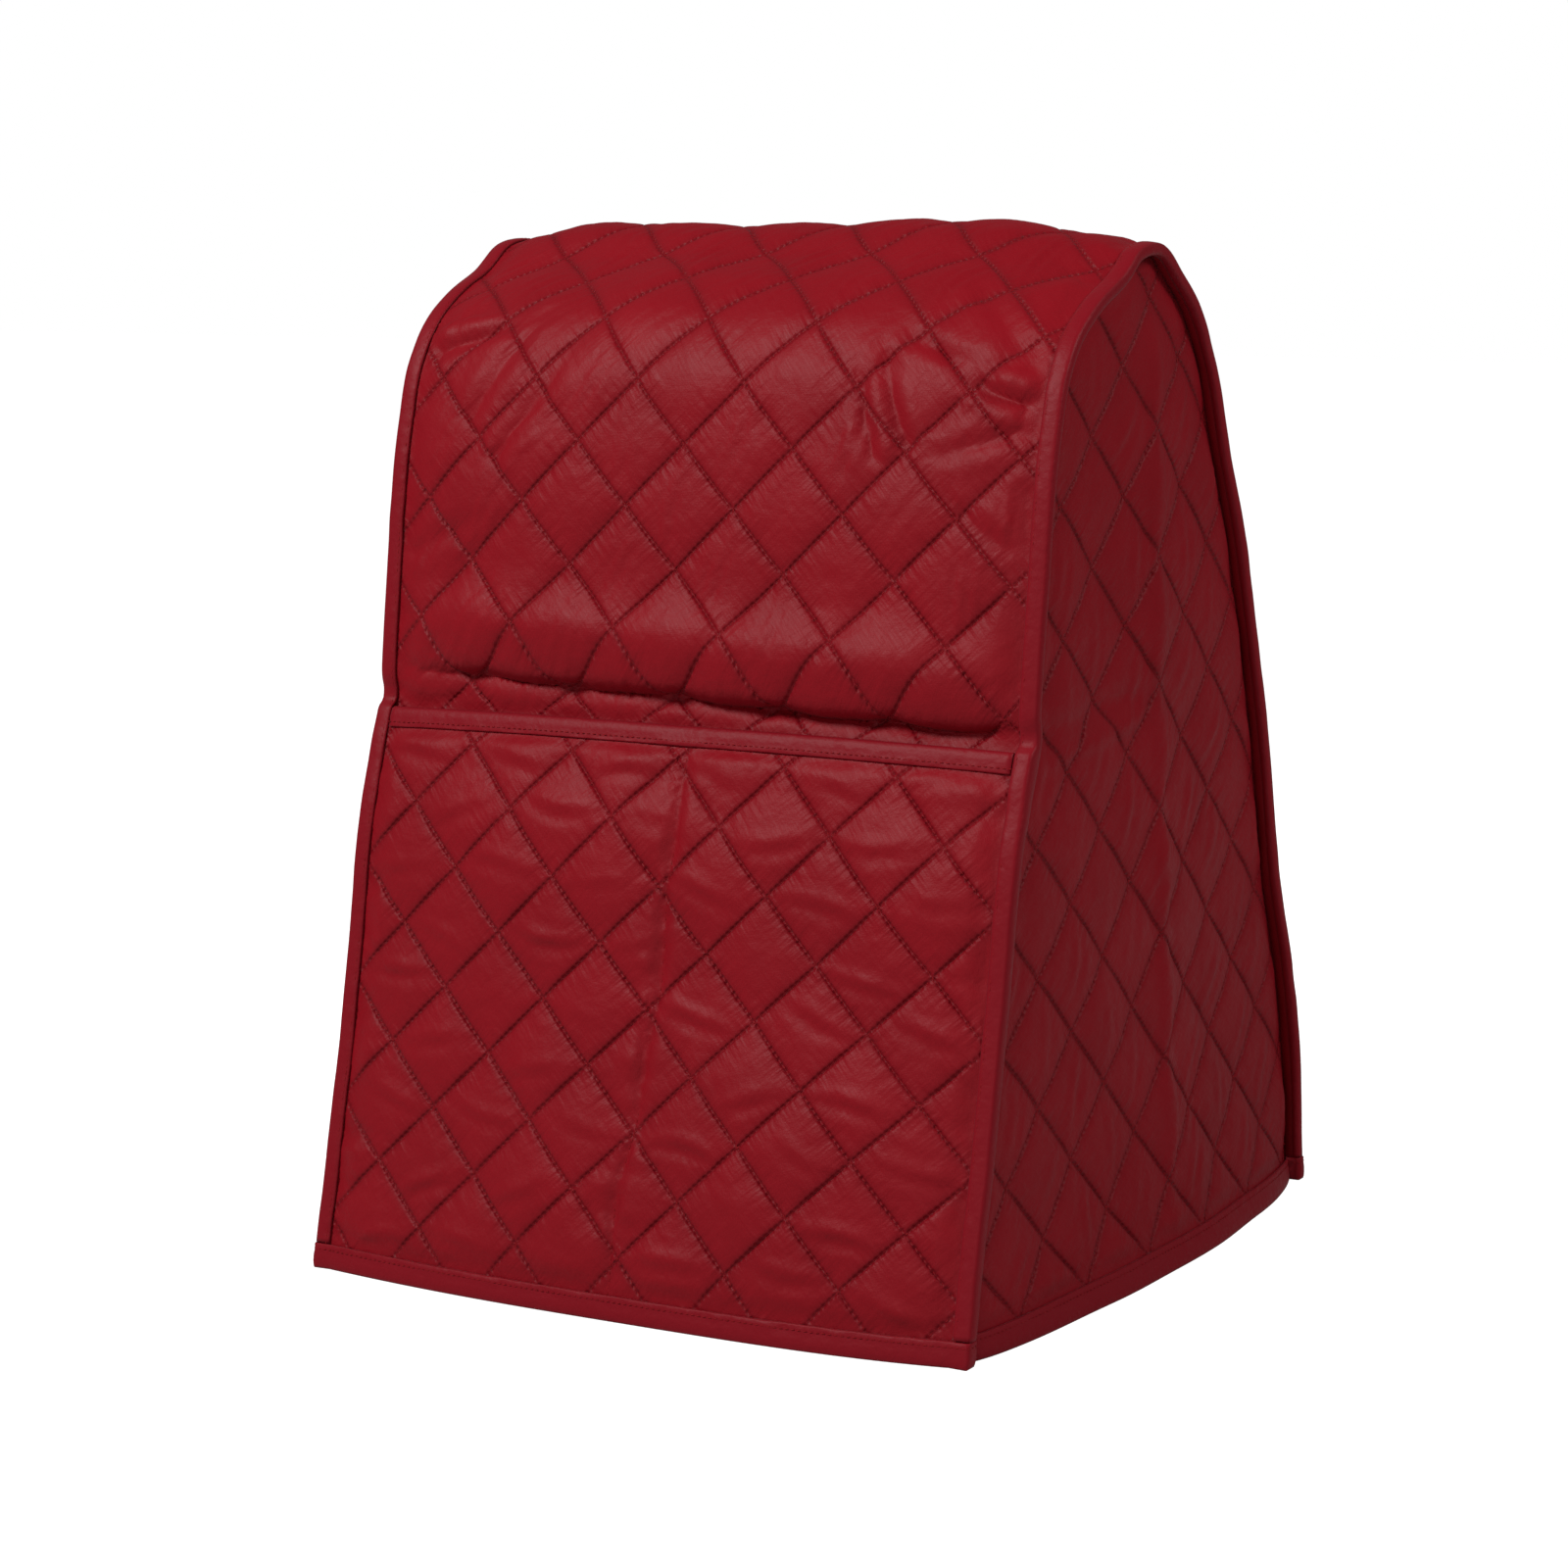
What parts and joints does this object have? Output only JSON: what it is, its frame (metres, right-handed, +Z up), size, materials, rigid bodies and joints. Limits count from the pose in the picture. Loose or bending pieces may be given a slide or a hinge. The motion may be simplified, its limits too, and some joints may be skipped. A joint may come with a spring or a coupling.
{
  "type": "quilted stand mixer cover",
  "caption": "Fitted quilted dust cover for a stand mixer: one panel over front, top and back, two side panels, a divided patch pocket and bound edges.",
  "frame": {"origin": "middle of the hem, on the surface that the cover's hem reaches", "axes": "+Z up, -Y out of the front with the pocket, +X towards the cover's own left as it is worn, which is the right of the picture"},
  "size_m": [0.3832, 0.3891, 0.4894],
  "materials": {
    "quilted_cloth": "wine red woven polyester, satin, quilted in squares on the bias",
    "binding_tape": "folded bias tape of the same cloth, a little lighter"
  },
  "bodies": {
    "root": {"main_panel": "quilted_cloth", "pocket_panel": "quilted_cloth", "side_panel_left": "quilted_cloth", "side_panel_right": "quilted_cloth", "seam_binding_left": "binding_tape", "seam_binding_right": "binding_tape", "hem_binding": "binding_tape", "pocket_binding": "binding_tape"}
  },
  "joints": []
}
